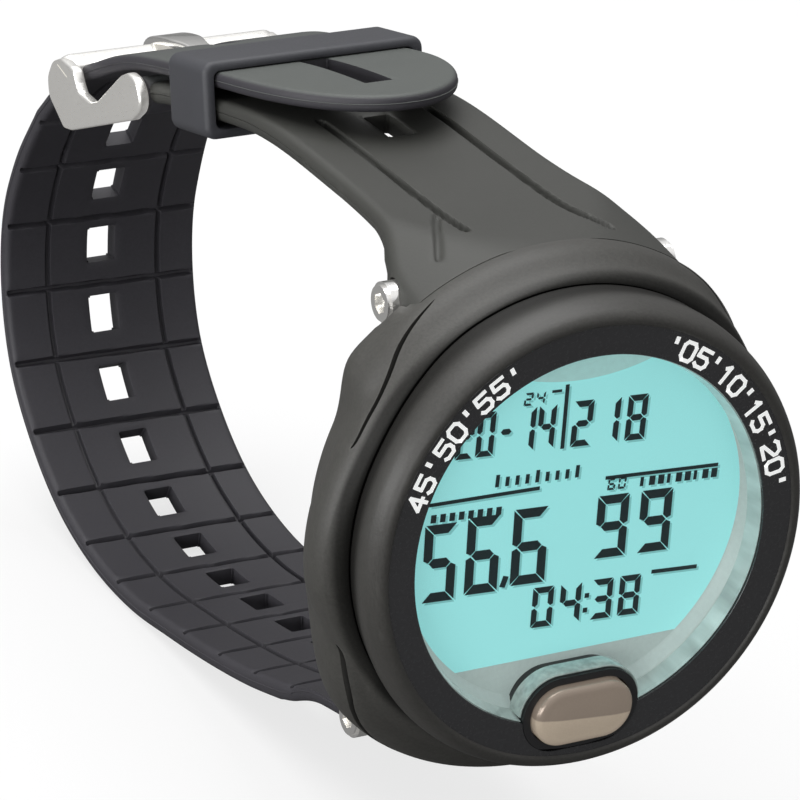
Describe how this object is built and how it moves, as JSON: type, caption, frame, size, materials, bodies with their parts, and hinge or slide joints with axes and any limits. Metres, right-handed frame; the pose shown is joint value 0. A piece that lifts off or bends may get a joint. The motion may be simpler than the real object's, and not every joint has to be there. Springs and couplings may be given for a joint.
{
  "type": "dive computer",
  "caption": "Wrist dive computer: round case with segment display and push button, screwed back and battery cover, rubber strap closed by a steel buckle and sliding keeper.",
  "frame": {"origin": "centre of the flat outer face of the case back, on the round case's axis", "axes": "+Z towards 12 o'clock, +X towards 3 o'clock, the face looks along -Y and the strap loop extends along +Y"},
  "size_m": [0.0576, 0.1318, 0.083],
  "materials": {
    "case_polymer": "fine matte moulded",
    "bezel_polymer": "satin moulded",
    "back_polymer": "matte moulded",
    "lens_clear": "clear polished",
    "ring_print": "glossy printed black",
    "seal_rubber": "smooth",
    "reflector_grey": "satin",
    "lcd_glass": "pale blue-green",
    "diffuser_white": "diffusing",
    "zebra_rubber": "striped",
    "board_green": "solder mask",
    "chip_black": "matte",
    "can_metal": "bright",
    "brass_metal": "bright",
    "chassis_polymer": "matte moulded",
    "contact_metal": "gold plated",
    "steel_bright": "polished stainless",
    "steel_satin": "satin stainless",
    "button_bronze": "satin bronze",
    "button_black": "semi-gloss",
    "strap_rubber": "matte",
    "keeper_rubber": "matte",
    "spring_wire": "drawn wire"
  },
  "bodies": {
    "watch": {"case_body": "case_polymer", "bezel_ring": "bezel_polymer", "lens": "lens_clear", "dial_ring": "ring_print", "lens_gasket": "seal_rubber", "display_frame": "reflector_grey", "lcd_panel": "lcd_glass", "backlight_panel": "diffuser_white", "zebra_connectors": "zebra_rubber", "circuit_board": "board_green", "board_chips": "chip_black", "crystal": "can_metal", "pressure_sensor": "can_metal", "sensor_oring": "seal_rubber", "buzzer": "brass_metal", "tact_switch": "can_metal", "chassis": "chassis_polymer", "coin_cell": "can_metal", "battery_contact_negative": "contact_metal", "battery_contact_positive": "contact_metal", "case_back": "back_polymer", "case_back_gasket": "seal_rubber", "case_back_screws": "steel_bright", "wet_contacts": "contact_metal", "button_guide": "button_black", "button_oring": "seal_rubber", "button_spring": "spring_wire", "upper_strap": "strap_rubber", "lower_strap": "strap_rubber", "upper_lug_bar": "steel_satin", "upper_bar_screws": "steel_bright", "lower_lug_bar": "steel_satin", "lower_bar_screws": "steel_bright", "buckle_bar": "steel_satin"},
    "button": {"button_cap": "button_bronze", "button_stem": "steel_satin", "button_clip": "steel_satin"},
    "buckle_frame": {"buckle_frame": "steel_satin"},
    "buckle_tongue": {"buckle_tongue": "steel_bright"},
    "keeper": {"keeper": "keeper_rubber"},
    "battery_cover": {"battery_cover": "back_polymer", "battery_oring": "seal_rubber"}
  },
  "joints": [
    {"name": "button_press", "type": "slide", "parent": "watch", "child": "button", "axis": [0, 1, 0], "range_m": [0, 0.001], "stiffness_N_per_m": 600, "springref_m": -0.0008, "deforming": ["button_spring"]},
    {"name": "frame_swing", "type": "hinge", "parent": "watch", "child": "buckle_frame", "pos_m": [0, 0.0682, 0.0209], "axis": [1, 0, 0], "range_deg": [0, 16]},
    {"name": "tongue_swing", "type": "hinge", "parent": "buckle_frame", "child": "buckle_tongue", "pos_m": [0, 0.0682, 0.0209], "axis": [1, 0, 0], "range_deg": [0, 10]},
    {"name": "keeper_slide", "type": "slide", "parent": "watch", "child": "keeper", "axis": [0, 0.9782, -0.2075], "range_m": [-0.0025, 0.0025]},
    {"name": "cover_turn", "type": "hinge", "parent": "watch", "child": "battery_cover", "pos_m": [0, 0, 0.003], "axis": [0, 1, 0], "range_deg": [-60, 0]}
  ]
}
